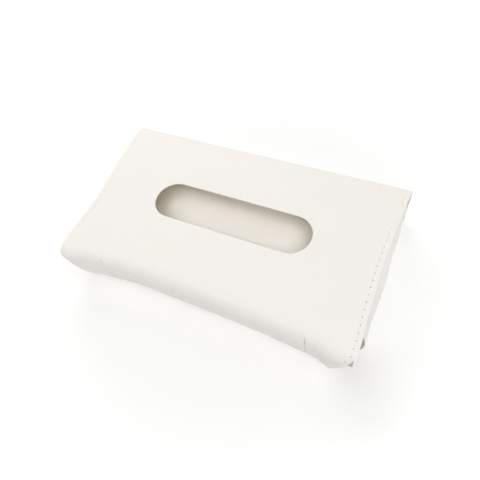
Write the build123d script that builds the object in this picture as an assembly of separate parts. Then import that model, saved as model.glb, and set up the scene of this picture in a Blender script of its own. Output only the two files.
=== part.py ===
from build123d import *
import math
import os

# Soft leather case for a pack of tissues. One sheet of leather runs from the front wall
# under the base, up the back, over the top and down over the front. Two short slits free
# the middle of the front as a closing flap, and magnets hold it to the front wall.
# Millimetres, +Z up, +X along the length, +Y to the back, origin at the middle of the base.

# Overall sizes
case_depth = 132.0       # back face to the front-most line of the corners
case_height = 40.0       # floor to the face of the top
case_length = 230.0      # along the back fold
waist_draw = 1.5         # how far each end of the top draws in at its waist
corner_flare = 1.2       # how far each front corner stands out past the back ones

# Sheets
leather = 0.9
panel_board = 0.9        # in the top, the back and the base
flap_board = 1.2         # in the flap and the front wall, round the magnets
lining = 0.4
flap_gap = 0.3           # running gap between the flap and the front wall

# Slot that the tissues come out of
slot_length = 127.0
slot_width = 31.0
slot_y = 5.0
slot_board_margin = 5.0  # the board stops short of the slot, so its edge is thin

# Front bend, closing flap and front corners
bend_radius = 9.5        # outer radius of the soft bend over the front
bend_run = 3.0           # flat run in front of the top panel, before the bend
face_lean = 5.0          # degrees that the front face leans back towards its foot
hem_radius = 4.0
hem_turn = 60.0          # degrees that the hem curls under
hem_height = 3.0         # lowest point of the hem above the floor
corner_reach = 3.5       # how far the corners stand in front of the flap
corner_length = 35.2     # from the flared end to the slit
slit_gap = 0.6
hinge_turn = 38.0        # degrees round the bend where the slits begin

# Folds and the front wall
fold_radius = 2.6
front_wall_height = 16.0

# End gussets
gusset_inset = 0.85      # the gusset's root, in from the ends of the top at the waist
gusset_bulge = 4.5       # how far the gusset's wall swells past its root
flange_width = 6.0
board_gap = 0.3          # between the flanges and the boards
gusset_setback = 20.5    # the gusset's front end, behind the front-most line
gusset_front_cut = 8.0   # how far the foot of the gusset is cut back
back_bulge_share = 0.35  # of the gusset's bulge, where it meets the back
full_bulge_share = 0.5   # of the case's depth, behind which the bulge starts to fade

# Magnets
magnet_radius = 4.0
magnet_thickness = 1.0
magnet_clearance = 0.1
magnet_inset = 25.0      # centre of a magnet, in from the end of the flap
magnet_height = 11.0

# Stitching
stitch_pitch = 5.2
stitch_length = 4.1
thread_width = 0.7
thread_height = 0.35
stitch_inset = 3.4
hem_stitch_rise = 4.3    # the front seam above the start of the hem
groove_depth = 0.5
groove_width = 1.3

overrun = 5.0            # how far a cut runs past the solid that it cuts

# Values that follow from the sizes
panel_stack = leather + panel_board + lining
flap_stack = leather + flap_board + lining
back_y = case_depth / 2
corner_front_y = -case_depth / 2
flap_front_y = corner_front_y + corner_reach
split_y = flap_front_y + bend_radius + bend_run
back_fold_y = back_y - fold_radius
back_half = case_length / 2
front_half = back_half + corner_flare
waist_half = back_half - waist_draw
base_half = waist_half
slit_half_span = front_half - corner_length
gusset_front_y = corner_front_y + gusset_setback
gusset_waist_y = back_y - case_depth * full_bulge_share
gusset_root = waist_half - gusset_inset
flange_tip = gusset_root - flange_width
board_half = flange_tip - board_gap
flap_half = slit_half_span - slit_gap
magnet_half_span = flap_half - magnet_inset
right_angle = 90.0
face_turn = right_angle + face_lean
lean = math.radians(face_lean)
face_out = Vector(-math.cos(lean), -math.sin(lean))
face_up = Vector(-math.sin(lean), math.cos(lean))


def turned(turn):
    """Unit vector from the bend's centre, turned from straight up towards the front."""
    return Vector(-math.sin(math.radians(turn)), math.cos(math.radians(turn)))


def bend_centre(front_y):
    return Vector(front_y + bend_radius, case_height - bend_radius)


# Flap face, as a plane whose local Y runs up the face and whose local Z points out of it
flap_centre = bend_centre(flap_front_y)
face_top = flap_centre + face_out * bend_radius
hem_drop = hem_radius * (math.sin(lean + math.radians(hem_turn)) - math.sin(lean))
face_length = (face_top.Y - hem_height - hem_drop) / math.cos(lean)
face_plane = Plane(
    origin=(0, face_top.X, face_top.Y), x_dir=(1, 0, 0), z_dir=(0, face_out.X, face_out.Y)
)

# Front wall, which stands behind the flap with its own fold at the foot
wall_depth = flap_stack + flap_gap
wall_fold_y = (
    flap_centre.X
    + math.tan(lean) * (flap_centre.Y - fold_radius)
    - (bend_radius - wall_depth - fold_radius) / math.cos(lean)
)
wall_fold = Vector(wall_fold_y, fold_radius)
wall_foot = wall_fold + face_out * fold_radius
wall_length = (front_wall_height - wall_foot.Y) / math.cos(lean)
wall_foot_local = (wall_foot - face_top).dot(face_up)
wall_top_local = wall_foot_local + wall_length
magnet_local = (magnet_height - face_top.Y) / math.cos(lean)


def ring(outer, inner):
    """Face between two like runs of edges, closed by a line at each end."""
    first = Line(outer[0] @ 0, inner[0] @ 0)
    last = Line(outer[-1] @ 1, inner[-1] @ 1)
    return make_face([*outer, *inner, first, last])


def front_edges(front_y, depth, first_turn, last_turn, hemmed):
    """Edges of the front sheet, at a depth below its outer face, from first_turn on."""
    centre = bend_centre(front_y)
    radius = bend_radius - depth
    edges = []
    if first_turn == 0:
        level = case_height - depth
        edges.append(Line((split_y, level), (centre.X, level)))
    edges.append(CenterArc(centre, radius, right_angle + first_turn, last_turn - first_turn))
    if hemmed:
        face_start = centre + face_out * radius
        face_end = face_start - face_up * face_length
        hem_centre = face_end - face_out * (hem_radius - depth)
        edges.append(Line(face_start, face_end))
        edges.append(CenterArc(hem_centre, hem_radius - depth, right_angle + face_turn, hem_turn))
    return edges


def front_section(front_y, near, far, first_turn, last_turn, hemmed):
    outer = front_edges(front_y, near, first_turn, last_turn, hemmed)
    inner = front_edges(front_y, far, first_turn, last_turn, hemmed)
    return ring(outer, inner)


def across(section, start_x, end_x):
    """Extrude a section drawn in Y and Z along the length of the case."""
    return extrude(Plane.YZ.offset(start_x) * section, amount=end_x - start_x, dir=(1, 0, 0))


def block(low, high):
    """Box between two corners."""
    size = [b - a for a, b in zip(low, high)]
    middle = [(a + b) / 2 for a, b in zip(low, high)]
    return Pos(*middle) * Box(*size)


# Plan outline of the top and its end seams
def end_arc(inset):
    """Right-hand end of the top, drawn in at the waist, from front to back."""
    waist_y = (split_y + back_fold_y) / 2
    return ThreePointArc(
        (front_half - inset, split_y), (waist_half - inset, waist_y), (back_half - inset, back_fold_y)
    )


def slot_cut(margin):
    """Cutter for the slot, larger all round by a margin."""
    outline = SlotOverall(slot_length + margin * 2, slot_width + margin * 2)
    return Pos(0, slot_y, case_height / 2) * extrude(outline, amount=case_height)


def top_leather():
    right = end_arc(0)
    left = mirror(right, Plane.YZ)
    outline = [right, left, Line(right @ 0, left @ 0), Line(right @ 1, left @ 1)]
    plate = extrude(Pos(0, 0, case_height - leather) * make_face(outline), amount=leather, dir=(0, 0, 1))
    bend = front_section(flap_front_y, 0, leather, 0, hinge_turn, False)
    strip = across(bend, -slit_half_span, slit_half_span)
    return plate + strip - slot_cut(0)


def corner_sheet(near, far):
    """Right front corner of the sheet, flaring forward from the slit to the end."""
    inner = front_section(flap_front_y, near, far, 0, face_turn, True)
    outer = front_section(corner_front_y, near, far, 0, face_turn, True)
    return loft([Plane.YZ.offset(slit_half_span) * inner, Plane.YZ.offset(front_half) * outer], ruled=True)


def back_leather():
    centres = [Vector(back_fold_y, case_height - fold_radius), Vector(back_fold_y, fold_radius)]
    runs = []
    for depth in (0, leather):
        radius = fold_radius - depth
        top_fold = CenterArc(centres[0], radius, right_angle, -right_angle)
        base_fold = CenterArc(centres[1], radius, 0, -right_angle)
        runs.append([top_fold, Line(top_fold @ 1, base_fold @ 0), base_fold])
    return across(ring(*runs), -back_half, back_half)


def bottom_leather():
    plate = block((-base_half, wall_fold_y, 0), (base_half, back_fold_y, leather))
    for side in (-1, 1):
        seam_x = side * (base_half - stitch_inset)
        low = (seam_x - groove_width / 2, gusset_front_y + gusset_front_cut, -overrun)
        high = (seam_x + groove_width / 2, back_fold_y, groove_depth)
        plate -= block(low, high)
    return plate


def front_wall_leather():
    runs = []
    for depth in (0, leather):
        radius = fold_radius - depth
        fold = CenterArc(wall_fold, radius, -right_angle, face_lean - right_angle)
        runs.append([fold, Line(fold @ 1, fold @ 1 + face_up * wall_length)])
    return across(ring(*runs), -board_half, board_half)


def face_plate(half_length, low, high, near, far):
    """Flat layer parallel to the flap's face, between two depths behind that face."""
    return face_plane * block((-half_length, low, -far), (half_length, high, -near))


def magnet_discs(side, radius, near, far):
    disc = Cylinder(radius, far - near)
    return face_plane * Pos(side * magnet_half_span, magnet_local, -(near + far) / 2) * disc


def magnet_board(half_length, low, high, near):
    """Board with a round pocket through it for each magnet."""
    plate = face_plate(half_length, low, high, near, near + flap_board)
    for side in (-1, 1):
        radius = magnet_radius + magnet_clearance
        plate -= magnet_discs(side, radius, near - overrun / 2, near + flap_board + overrun / 2)
    return plate


def magnet(side, near):
    spare = (flap_board - magnet_thickness) / 2
    return magnet_discs(side, magnet_radius, near + spare, near + spare + magnet_thickness)


def gusset_section(y, bulge):
    """Section of the right gusset in X and Z: two flanges and a bulged wall."""
    inner_x = gusset_root - leather
    top = case_height - leather
    middle = case_height / 2
    outer = ThreePointArc((gusset_root, top), (gusset_root + bulge, middle), (gusset_root, leather))
    inner = ThreePointArc((inner_x, top - leather), (inner_x + bulge, middle), (inner_x, leather * 2))
    edges = [outer, inner]
    for level, step, start in ((top, -leather, 0), (leather, leather, 1)):
        edges.append(Line((flange_tip, level), outer @ start))
        edges.append(Line((flange_tip, level), (flange_tip, level + step)))
        edges.append(Line((flange_tip, level + step), inner @ start))
    flat = make_face(edges)
    return Plane(origin=(0, y, 0), x_dir=(1, 0, 0), z_dir=(0, -1, 0)) * flat


def gusset():
    stations = [
        gusset_section(gusset_front_y, gusset_bulge),
        gusset_section(gusset_waist_y, gusset_bulge),
        gusset_section(back_fold_y, gusset_bulge * back_bulge_share),
    ]
    wall = loft(stations[:2], ruled=True) + loft(stations[1:], ruled=True)
    tail = extrude(stations[-1], amount=back_y - leather - back_fold_y, dir=(0, 1, 0))
    tail &= block(
        (gusset_root - leather, 0, fold_radius),
        (gusset_root + gusset_bulge, back_y, case_height - fold_radius),
    )
    flange = block(
        (flange_tip, back_y - leather * 2, fold_radius),
        (gusset_root, back_y - leather, case_height - fold_radius),
    )
    wall += tail + flange
    wedge = Plane.YZ * make_face(
        Polyline(
            (gusset_front_y - overrun, case_height),
            (gusset_front_y, case_height),
            (gusset_front_y + gusset_front_cut, 0),
            (gusset_front_y - overrun, 0),
            close=True,
        )
    )
    return wall - extrude(wedge, amount=case_length, dir=(1, 0, 0))


def stitch(place, along, out):
    """One stitch lying on a surface."""
    thread = extrude(SlotOverall(stitch_length, thread_width), amount=thread_height)
    return Plane(origin=place, x_dir=along, z_dir=out) * thread


def seam_count(length):
    return int(length / stitch_pitch)


def straight_seam(start, end, out):
    start, end = Vector(*start), Vector(*end)
    run = end - start
    count = seam_count(run.length)
    return Compound([stitch(start + run * ((i + 0.5) / count), run, out) for i in range(count)])


def end_seam():
    """Seam along the right margin of the top."""
    path = end_arc(stitch_inset)
    count = seam_count(path.length)
    stitches = []
    for i in range(count):
        place = path @ ((i + 0.5) / count)
        along = path % ((i + 0.5) / count)
        stitches.append(stitch((place.X, place.Y, case_height), along, (0, 0, 1)))
    return Compound(stitches)


def corner_point(x, down):
    """Place on the right corner's outer face, and the way up the face there.

    down is the way along the face from the edge of the top panel.
    """
    reach = corner_reach * (x - slit_half_span) / (front_half - slit_half_span)
    centre = bend_centre(flap_front_y - reach)
    past_flat = down - (split_y - centre.X)
    past_bend = past_flat - math.radians(face_turn) * bend_radius
    if past_flat < 0:
        place = Vector(split_y - down, case_height)
        up = Vector(1, 0)
    elif past_bend < 0:
        turn = math.degrees(past_flat / bend_radius)
        place = centre + turned(turn) * bend_radius
        up = turned(turn - right_angle)
    else:
        place = centre + face_out * bend_radius - face_up * past_bend
        up = face_up
    return Vector(x, place.X, place.Y), Vector(0, up.X, up.Y)


def corner_seam():
    """Seam that comes down the right corner's end and turns in along its hem."""
    side_x = front_half - stitch_inset
    flare = Vector(front_half - slit_half_span, -corner_reach, 0)
    bend_length = math.radians(face_turn) * bend_radius
    side_run = bend_run + corner_reach + bend_length + face_length - hem_stitch_rise
    hem_run = side_x - slit_half_span
    side_count = seam_count(side_run)
    hem_count = seam_count(hem_run)
    stitches = []
    for i in range(side_count):
        place, up = corner_point(side_x, side_run * (i + 0.5) / side_count)
        stitches.append(stitch(place, up, flare.cross(up)))
    for i in range(hem_count):
        place, up = corner_point(side_x - hem_run * (i + 0.5) / hem_count, side_run)
        stitches.append(stitch(place, flare, flare.cross(up)))
    return Compound(stitches)


def both_sides(name, right):
    """The right-hand piece and its mirror image, as two named nodes."""
    return {"right_" + name: right, "left_" + name: mirror(right, Plane.YZ)}


base_seam_x = base_half - stitch_inset
back_seam_x = back_half - stitch_inset
board_top = case_height - leather
board_foot = -face_length
wall_near = wall_depth + leather

nodes = {
    "top_leather": top_leather(),
    "back_leather": back_leather(),
    "bottom_leather": bottom_leather(),
    "front_wall_leather": front_wall_leather(),
    "top_board": block(
        (-board_half, split_y, board_top - panel_board), (board_half, back_fold_y, board_top)
    ) - slot_cut(slot_board_margin),
    "top_lining": block(
        (-board_half, split_y, case_height - panel_stack),
        (board_half, back_fold_y, board_top - panel_board),
    ) - slot_cut(0),
    "back_board": block(
        (-board_half, back_y - leather - panel_board, fold_radius),
        (board_half, back_y - leather, case_height - fold_radius),
    ),
    "back_lining": block(
        (-board_half, back_y - panel_stack, fold_radius),
        (board_half, back_y - leather - panel_board, case_height - fold_radius),
    ),
    "bottom_board": block(
        (-board_half, wall_fold_y, leather), (board_half, back_fold_y, leather + panel_board)
    ),
    "bottom_lining": block(
        (-board_half, wall_fold_y, leather + panel_board), (board_half, back_fold_y, panel_stack)
    ),
    "front_wall_board": magnet_board(board_half, wall_foot_local, wall_top_local, wall_near),
    "front_wall_lining": face_plate(
        board_half,
        wall_foot_local,
        wall_top_local,
        wall_near + flap_board,
        wall_near + flap_board + lining,
    ),
    "flap_leather": across(
        front_section(flap_front_y, 0, leather, hinge_turn, face_turn, True), -flap_half, flap_half
    ),
    "flap_board": magnet_board(flap_half, board_foot, 0, leather),
    "flap_lining": face_plate(flap_half, board_foot, 0, leather + flap_board, flap_stack),
    "left_wall_magnet": magnet(-1, wall_near),
    "right_wall_magnet": magnet(1, wall_near),
    "left_flap_magnet": magnet(-1, leather),
    "right_flap_magnet": magnet(1, leather),
}
nodes.update(both_sides("corner_leather", corner_sheet(0, leather)))
nodes.update(both_sides("corner_lining", corner_sheet(leather, leather + lining)))
nodes.update(both_sides("gusset", gusset()))
nodes.update(both_sides("end_stitching", end_seam()))
nodes.update(both_sides("corner_stitching", corner_seam()))
nodes.update(both_sides("base_stitching", straight_seam(
    (base_seam_x, gusset_front_y + gusset_front_cut, groove_depth),
    (base_seam_x, back_fold_y, groove_depth),
    (0, 0, -1),
)))
nodes.update(both_sides("back_stitching", straight_seam(
    (back_seam_x, back_y, fold_radius), (back_seam_x, back_y, case_height - fold_radius), (0, 1, 0)
)))

os.makedirs("parts", exist_ok=True)
for name, piece in nodes.items():
    export_step(piece, "parts/" + name + ".step")
hinge = flap_centre + turned(hinge_turn) * bend_radius
print("flap hinge at y, z:", round(hinge.X, 3), round(hinge.Y, 3))
print("front wall foot at y:", round(wall_fold_y, 3))
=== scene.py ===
import math

import bpy
import numpy as np
from mathutils import Matrix, Vector


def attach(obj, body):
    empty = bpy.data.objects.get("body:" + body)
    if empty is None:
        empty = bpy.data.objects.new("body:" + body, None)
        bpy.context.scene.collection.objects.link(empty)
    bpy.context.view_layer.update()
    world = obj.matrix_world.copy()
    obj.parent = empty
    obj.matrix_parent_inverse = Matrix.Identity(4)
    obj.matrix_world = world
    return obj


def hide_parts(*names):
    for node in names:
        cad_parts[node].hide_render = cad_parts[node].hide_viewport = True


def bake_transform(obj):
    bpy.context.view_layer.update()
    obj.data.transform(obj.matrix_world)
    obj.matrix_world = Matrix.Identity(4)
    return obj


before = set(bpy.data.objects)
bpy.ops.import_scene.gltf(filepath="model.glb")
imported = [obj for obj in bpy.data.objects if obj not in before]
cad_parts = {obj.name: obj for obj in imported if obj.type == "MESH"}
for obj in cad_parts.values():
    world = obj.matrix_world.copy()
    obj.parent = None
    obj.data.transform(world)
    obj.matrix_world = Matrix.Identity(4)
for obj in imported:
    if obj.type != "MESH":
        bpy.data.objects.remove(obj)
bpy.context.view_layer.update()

MM = 0.001

# Sizes in millimetres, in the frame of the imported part
HEIGHT = 40.0
CASE_BACK = 66.0
HALF = 116.2  # half length of the sheet at the front corners
STRAIGHT = 90.0  # columns nearer the middle than this keep their x
MIDDLE = 80.0  # the front wall follows the front profile only up to here
LEATHER = 0.9
BOARD = 0.9
FLAP_BOARD = 1.2  # also the front wall's
LINING = 0.4
PLAY = 0.01  # between a layer and the one that it lies on
FOLD = 2.6  # radius of the folds along the base and the back
WALL_TOP = 16.1
WALL_RUN = 13.5  # length of the front wall's panel along the sheet
WALL_GAP = 2.85  # front wall's face behind the flap's outer face
WALL_HALF = 106.35
BASE_HALF = 113.5
BASE_CORNER_RADIUS = 4.5
BACK_HALF = 115.0
BACK_FOLD_Y = CASE_BACK - FOLD
LEVEL_Y = -38.0  # the front profile is measured from this line on the top
SPLIT_Y = -50.0  # the top's board and its end stitches stop here
SLOT_STRAIGHT = 48.0  # half length of the slot's straight sides
SLOT_Y = 5.0
SLOT_RADIUS = 15.5
PATCH_X = 72.0  # rectangle round the slot, which rings of points fill
PATCH_BACK = 29.0
PATCH_FRONT = -19.0
SLITS = (-78.2, 83.8)  # left and right slit, as seen in the photograph
SLIT_GAP = 0.3
HINGE_TURN = math.radians(44)
HINGE_STEP = 0.1  # rows on each side of the hinge line
SEAM_INSET = 3.4
PITCH = 5.2
STITCH = 4.1
BASE_SEAM_START = -47.9
BASE_CORNER = 2.0  # how far the base's front corners come forward
CUT_DEPTH = 11.0  # the right front corner is cut in below the bend
CUT_START = 3.0
CUT_LENGTH = 14.0
FLARE = 1.2  # the left front corner stands out at the bend


def ease(t):
    t = np.clip(t, 0.0, 1.0)
    return t * t * (3 - 2 * t)


def through(x, knots):
    """Smooth curve through (x, value) knots."""
    kx, ky = np.array(knots, float).T
    slope = np.gradient(ky, kx)
    i = np.clip(np.searchsorted(kx, x) - 1, 0, len(kx) - 2)
    h = kx[i + 1] - kx[i]
    t = np.clip((x - kx[i]) / h, 0, 1)
    return (
        ky[i] * (1 + 2 * t) * (1 - t) ** 2
        + slope[i] * h * t * (1 - t) ** 2
        + ky[i + 1] * t * t * (3 - 2 * t)
        + slope[i + 1] * h * t * t * (t - 1)
    )


# Front profile of the sheet, by the signed place a along the length: y of the foremost line,
# radii in mm and turns in degrees of the soft start, the bend, the face and the hem
FRONT_Y = (
    (-HALF, -66.0), (-109, -65.6), (-102, -64.8), (-94, -63.2), (-80, -61.8), (-71, -60.9),
    (-57, -59.9), (-30, -59.9), (0, -60.1), (20, -60.6), (40, -61.1), (57, -61.6),
    (71, -62.3), (80, -62.9), (94, -64.3), (102, -66.2), (109, -67.2), (HALF, -66.8),
)
SOFT_AT = (-HALF, -100, -80, -57, 0, 57, 80, 100, HALF)
SOFT_RADIUS = tuple(zip(SOFT_AT, (26, 30, 35, 38, 40, 38, 34, 29, 26)))
SOFT_TURN = tuple(zip(SOFT_AT, (8, 10, 13.5, 15, 17, 19, 18, 13, 8)))
BEND_RADIUS = ((0, 9.8), (57, 9.6), (80, 9.3), (100, 9.0), (HALF, 8.6))  # by distance from 0
LEAN = (
    (-HALF, 9), (-100, 8), (-80, 9), (0, 10), (80, 10), (98, 9), (104, 10), (108, 13),
    (112, 19), (HALF, 28),
)
FOOT = ((-HALF, 4.0), (-100, 3.4), (0, 3.0), (80, 3.0), (98, 3.0), (108, 2.6), (HALF, 4.0))
HEM_TURN = ((-HALF, 60), (0, 60), (80, 60), (98, 58), (108, 54), (HALF, 38))
HEM_RADIUS = 4.0

# Shares of a length at which rows of points lie
QUARTERS = (0.25, 0.5, 0.75, 1.0)
TURN_STEPS = (0.15, 0.3, 0.45, 0.6, 0.8, 1.0)
FACE_STEPS = (0.09, 0.18, 0.28, 0.38, 0.48, 0.58, 0.67, 0.75, 0.82, 0.88, 0.94, 1.0)


class Front:
    """Lengths, radii and turns of the front profile at places a along the length."""

    def __init__(self, a):
        place = np.asarray(a, float)
        self.soft_r = through(place, SOFT_RADIUS)
        self.soft_turn = np.radians(through(place, SOFT_TURN))
        self.bend_r = through(np.abs(place), BEND_RADIUS)
        self.lean = np.radians(through(place, LEAN))
        self.hem_turn = np.radians(through(place, HEM_TURN))
        self.y = through(place, FRONT_Y)
        s, c = np.sin(self.soft_turn), np.cos(self.soft_turn)
        self.flat = LEVEL_Y - self.y - self.soft_r * s - self.bend_r * (1 - s)
        self.soft = self.soft_r * self.soft_turn
        self.bend = self.bend_r * (math.pi / 2 - self.soft_turn)
        self.bend_end = HEIGHT - self.soft_r * (1 - c) - self.bend_r * c
        lowest = np.minimum(self.lean + self.hem_turn, math.pi / 2)
        hem_drop = HEM_RADIUS * (np.sin(lowest) - np.sin(self.lean))
        self.face_r = (self.bend_end - hem_drop - through(place, FOOT)) / np.sin(self.lean)
        self.face = self.face_r * self.lean
        self.hem = HEM_RADIUS * self.hem_turn
        self.bend_start = self.flat + self.soft
        self.face_start = self.bend_start + self.bend
        self.hem_start = self.face_start + self.face
        self.end = self.hem_start + self.hem
        self.hinge = self.at_turn(HINGE_TURN)

    def at_turn(self, turn):
        """Distance along the sheet where it has turned this far."""
        soft = self.flat + self.soft_r * np.minimum(turn, self.soft_turn)
        return soft + self.bend_r * np.maximum(turn - self.soft_turn, 0)

    def place(self, t):
        """y, z and turn at distance t along the sheet."""
        y = LEVEL_Y - np.minimum(t, self.flat)
        z, turn = HEIGHT + 0 * y, 0 * y
        for start, length, radius in (
            (self.flat, self.soft, self.soft_r),
            (self.bend_start, self.bend, self.bend_r),
            (self.face_start, self.face, self.face_r),
            (self.hem_start, self.hem, HEM_RADIUS),
        ):
            new = turn + np.clip(t - start, 0, length) / radius
            y = y - radius * (np.sin(new) - np.sin(turn))
            z = z + radius * (np.cos(new) - np.cos(turn))
            turn = new
        return y, z, turn

    def below_hinge(self, face_steps, hem_steps, hem_trim):
        """Distances of the rows down the rest of the bend, the face and the hem."""
        rows = [self.at_turn(HINGE_TURN + (math.pi / 2 - HINGE_TURN) * k) for k in TURN_STEPS]
        rows += [self.face_start + self.face * k for k in face_steps]
        return rows + [self.hem_start + (self.hem - hem_trim) * k for k in hem_steps]

    def lower_rows(self):
        """Distances of the rows from just below the hinge line to the free edge."""
        rows = [self.hinge + HINGE_STEP] + self.below_hinge(FACE_STEPS, QUARTERS, 0.5)
        return rows + [self.end - d for d in RIM[::-1]]


# The left end of the sheet is sewn slightly out of square: y and mm further out
LEFT_SPLAY = (
    (-70, -2.2), (-56, -2.0), (-35, -1.4), (-18, -1.2), (-5, -0.3), (8, 1.2), (20, 1.9),
    (35, 2.4), (50, 2.5), (56, 2.3), (60, 1.6), (63.4, 0.4), (66, -0.7),
)


def end_half(a, y, past):
    """Half length of the sheet on the side of a; past is the distance past the bend's start."""
    u = np.clip((2 * y - SPLIT_Y - BACK_FOLD_Y) / (BACK_FOLD_Y - SPLIT_Y), -1, 1)
    top = BASE_HALF + (HALF - BASE_HALF) * u * u
    cut = CUT_DEPTH * (1 - np.exp(-np.maximum(past - CUT_START, 0) / CUT_LENGTH))
    flare = FLARE * ease(past / 10) * (1 - ease((past - 12) / 18))
    return top + np.where(np.asarray(a) > 0, -cut, flare + through(y, LEFT_SPLAY))


def back_end(a, z):
    """Half length of the back panel at height z on the side of a."""
    head = end_half(a, BACK_FOLD_Y, 0.0)
    return BACK_HALF + (head - BACK_HALF) * ease((z - 10) / (HEIGHT - FOLD - 10))


def spread(a, half):
    """x of place a, where the end of the sheet lies at half."""
    m = np.abs(a)
    out = STRAIGHT + (m - STRAIGHT) * (half - STRAIGHT) / (HALF - STRAIGHT)
    return np.sign(a) * np.where(m <= STRAIGHT, m, out)


def wave(x, y):
    """Slight unevenness of the sheet: three waves, none above 0.16 mm."""
    return (
        0.16 * np.sin(x / 31 + 0.7) * np.cos(y / 27 - 0.4)
        + 0.09 * np.sin(x / 13.5 + y / 17 + 1.1)
        + 0.05 * np.sin(x / 7.1 - y / 9.3 + 2.0)
    )


def front_point(a, t, x=None):
    """Point of the sheet's front part and its normal. Without x, the columns spread."""
    a, t = np.broadcast_arrays(np.asarray(a, float), np.asarray(t, float))
    f = Front(a)
    y, z, turn = f.place(t)
    if x is None:
        x = spread(a, end_half(a, y, t - f.bend_start))
    x = np.broadcast_to(x, y.shape)
    n = np.stack([0 * y, -np.sin(turn), np.cos(turn)], -1)
    lift = wave(x, LEVEL_Y - t) * (1 - 0.5 * ease((t - f.face_start) / 12))
    return np.stack([x, y, z], -1) + n * lift[..., None], n


# The rest of the sheet runs from the front wall's top under the base and up the back to LEVEL_Y.
# v counts its panels: up to 1 front wall, 2 fold, 3 base, 4 fold, 5 back, 6 fold, 7 top.
WIDEN_START = 1.25  # v where the narrow front wall starts to widen to the base
WIDEN_END = 1.9


def run_point(a, v):
    """Point of the rest of the sheet at v, and its normal."""
    a, v = np.broadcast_arrays(np.asarray(a, float), np.asarray(v, float))
    f = Front(np.clip(a, -MIDDLE, MIDDLE))
    foot_z = FOLD * (1 - np.sin(f.place(f.hem_start)[2] - math.pi / 2))
    wall_z = WALL_TOP + (foot_z - WALL_TOP) * np.clip(v, 0, 1)
    slope = np.arcsin(np.clip((f.bend_end - wall_z) / f.face_r, 0, 1))
    foot_slope = np.arcsin(np.clip((f.bend_end - foot_z) / f.face_r, 0, 1))
    wall_y = f.y + f.face_r * (1 - np.cos(slope)) + WALL_GAP
    foot_y = f.y + f.face_r * (1 - np.cos(foot_slope)) + WALL_GAP
    widen = ease((v - WIDEN_START) / (WIDEN_END - WIDEN_START))
    fold_y = foot_y + FOLD * np.cos(foot_slope) - BASE_CORNER * ease((np.abs(a) - 108) / 7) * widen
    fold_z = foot_z + FOLD * np.sin(foot_slope)
    share = [np.clip(v - panel, 0, 1) for panel in range(7)]
    none = 0 * v

    def fold(y, z, turn):
        """Fold round (y, z), at a turn of its normal from straight down."""
        return y + FOLD * np.sin(turn), z - FOLD * np.cos(turn), np.sin(turn), -np.cos(turn)

    panels = (
        (wall_y, wall_z, -np.cos(slope), -np.sin(slope)),
        fold(
            fold_y,
            fold_z - (fold_z - FOLD) * share[1],
            (foot_slope - math.pi / 2) * (1 - share[1]),
        ),
        (fold_y + (BACK_FOLD_Y - fold_y) * share[2], none, none, none - 1),
        fold(BACK_FOLD_Y, FOLD, share[3] * math.pi / 2),
        (CASE_BACK + none, FOLD + (HEIGHT - 2 * FOLD) * share[4], none + 1, none),
        fold(BACK_FOLD_Y, HEIGHT - FOLD, (1 + share[5]) * math.pi / 2),
        (BACK_FOLD_Y + (LEVEL_Y - BACK_FOLD_Y) * share[6], HEIGHT + none, none, none + 1),
    )
    panel = np.clip(np.ceil(v) - 1, 0, 6).astype(int)
    y, z, ny, nz = (np.choose(panel, [p[k] for p in panels]) for k in range(4))
    half = np.select(
        [v <= WIDEN_START, v <= WIDEN_END, v <= 3, v <= 4, v <= 6],
        [
            WALL_HALF + none,
            WALL_HALF + (BASE_HALF - WALL_HALF) * widen,
            BASE_HALF + none,
            BASE_HALF + (BACK_HALF - BASE_HALF) * ease(v - 3),
            back_end(a, z),
        ],
        end_half(a, np.minimum(y, BACK_FOLD_Y), none),
    )
    round_off = rim_drop((v - WIDEN_END) * 60, BASE_CORNER_RADIUS)
    x = spread(a, half - np.where((v > WIDEN_END) & (v < 2.1), round_off, 0))
    n = np.stack([none, ny, nz], -1)
    lift = wave(x, y) * ease((v - 5.2) / 1.2)
    lift = lift + 0.8 * wave(x + 40, z * 1.7) * ease((v - 4) / 0.5) * ease((6 - v) / 0.5)
    return np.stack([x, y, z], -1) + n * lift[..., None], n


def straight_run(cols, rows):
    """Points and normals of run_point on a grid whose columns keep their x."""
    a, v = np.meshgrid(cols, rows)
    p, n = run_point(a, v)
    p[..., 0] = a
    return p, n


def top_v(y):
    return 6 + (BACK_FOLD_Y - y) / (BACK_FOLD_Y - LEVEL_Y)


# Columns and rows
RIM_RADIUS = 0.43  # rounding of the leather's cut edges
RIM = (0.0, 0.04, 0.16, 0.32, RIM_RADIUS)
END = (
    0.75, 1.3, 2.0, 2.6, 3.0, 3.25, 3.5, 3.75, 4.0, 4.3, 4.8, 5.6, 6.8, 8.4, 10.4, 12.6, 15.0,
    17.6, 20.4, 23.3, 26.2,
)
BESIDE_SLIT = (0.8, 1.6, 3.0, 5.0)
PANEL_STEPS = (0.13, 0.03, 0.14, 0.09, 0.12)  # spacing in v of the rows from the wall's fold on


def span(low, high, step):
    """Even places from low to high, at most a step apart."""
    n = max(1, int(math.ceil((high - low) / step)))
    return [low + (high - low) * i / n for i in range(n + 1)]


def unique(values):
    out = []
    for v in sorted(values):
        if not out or v - out[-1] > 1e-6:
            out.append(v)
    return out


def outer_columns():
    """Columns of the outer sheet, denser at its ends and beside the slits."""
    ends = [HALF - d for d in RIM + END]
    left = [SLITS[0] - d for d in RIM + BESIDE_SLIT + (7.3,)]
    right = [SLITS[1] + d for d in RIM + BESIDE_SLIT]
    inner = [-79.7, -78.2, -75.5] + span(-PATCH_X, PATCH_X, 3.0) + [75.0, 78.2, 80.5, 81.8]
    return np.array(unique([-x for x in ends] + left + inner + right + ends))


def top_rows(steps):
    """y of the rows of the top, from the back fold to LEVEL_Y."""
    marks = (BACK_FOLD_Y, PATCH_BACK, PATCH_FRONT, LEVEL_Y)
    rows = [BACK_FOLD_Y]
    for back, front, step in zip(marks, marks[1:], steps):
        rows += [-y for y in span(-back, -front, step)[1:]]
    return np.array(rows)


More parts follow.
